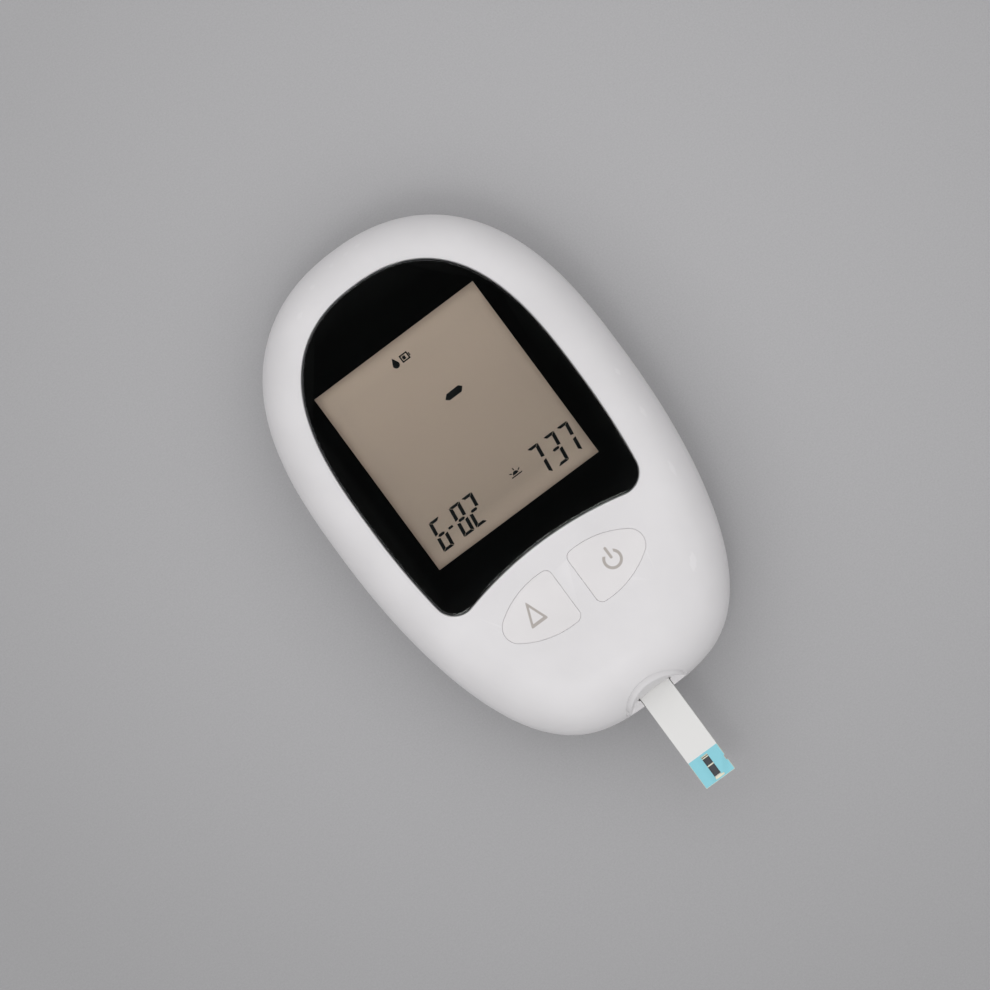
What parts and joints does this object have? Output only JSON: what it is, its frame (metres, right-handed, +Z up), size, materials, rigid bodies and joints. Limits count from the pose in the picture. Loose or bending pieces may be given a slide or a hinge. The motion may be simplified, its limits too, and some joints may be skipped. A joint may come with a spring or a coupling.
{
  "type": "blood glucose meter",
  "caption": "Handheld blood glucose meter with an egg-shaped white case, a black lens over a segment display, two leaf-shaped buttons and a test strip in its port.",
  "frame": {"origin": "middle of the body's footprint, on the plane it rests on", "axes": "+X towards the meter's right, +Y towards its display end, +Z up out of the display"},
  "size_m": [0.06, 0.112, 0.0204],
  "materials": {
    "case_white": "fine satin moulding",
    "button_white": "smooth satin",
    "lens_clear": "polished clear acrylic",
    "film_black": "black printed film",
    "gasket_foam": "closed-cell foam",
    "display_glass": "clear plate",
    "polariser_grey": "anti-glare film",
    "reflector_foil": "satin foil",
    "frame_white": "moulded",
    "elastomer_pink": "silicone",
    "board_green": "solder mask",
    "chip_black": "moulded epoxy",
    "parts_tan": "ceramic",
    "buzzer_black": "moulded",
    "switch_black": "moulded",
    "plunger_red": "moulded",
    "port_grey": "moulded",
    "contact_gold": "gold plated",
    "strip_white": "polyester sheet",
    "track_carbon": "printed carbon",
    "spacer_cream": "adhesive sheet",
    "tip_blue": "tinted film",
    "cell_jacket": "printed jacket",
    "nickel_plate": "nickel plated",
    "screw_steel": "zinc plated"
  },
  "bodies": {
    "housing": {"front_case": "case_white", "rear_case": "case_white", "display_lens": "lens_clear", "lens_film": "film_black", "display_gasket": "gasket_foam", "lcd_polariser": "polariser_grey", "lcd_front_glass": "display_glass", "lcd_rear_glass": "display_glass", "lcd_reflector": "reflector_foil", "lcd_frame": "frame_white", "zebra_connector": "elastomer_pink", "main_board": "board_green", "controller_chip": "chip_black", "board_parts": "parts_tan", "buzzer": "buzzer_black", "left_switch": "switch_black", "right_switch": "switch_black", "strip_port": "port_grey", "strip_contacts": "contact_gold", "left_cell": "cell_jacket", "right_cell": "cell_jacket", "bridge_contact": "nickel_plate", "plus_contact": "nickel_plate", "minus_contact": "nickel_plate", "battery_springs": "nickel_plate", "case_screws": "screw_steel", "board_screws": "screw_steel"},
    "left_button": {"left_button": "button_white", "left_plunger": "plunger_red"},
    "right_button": {"right_button": "button_white", "right_plunger": "plunger_red"},
    "test_strip": {"strip_base": "strip_white", "strip_tracks": "track_carbon", "strip_spacer": "spacer_cream", "strip_cover": "strip_white", "strip_tip": "tip_blue"},
    "battery_door": {"battery_door": "case_white"}
  },
  "joints": [
    {"name": "left_button_press", "type": "slide", "parent": "housing", "child": "left_button", "axis": [0, 0, -1], "range_m": [0, 0.0005], "stiffness_N_per_m": 800, "springref_m": -0.0005},
    {"name": "right_button_press", "type": "slide", "parent": "housing", "child": "right_button", "axis": [0, 0, -1], "range_m": [0, 0.0005], "stiffness_N_per_m": 800, "springref_m": -0.0005},
    {"name": "strip_slide", "type": "slide", "parent": "housing", "child": "test_strip", "axis": [0, -1, 0], "range_m": [0, 0.014]},
    {"name": "door_slide", "type": "slide", "parent": "housing", "child": "battery_door", "axis": [0, 1, 0], "range_m": [0, 0.004]}
  ]
}
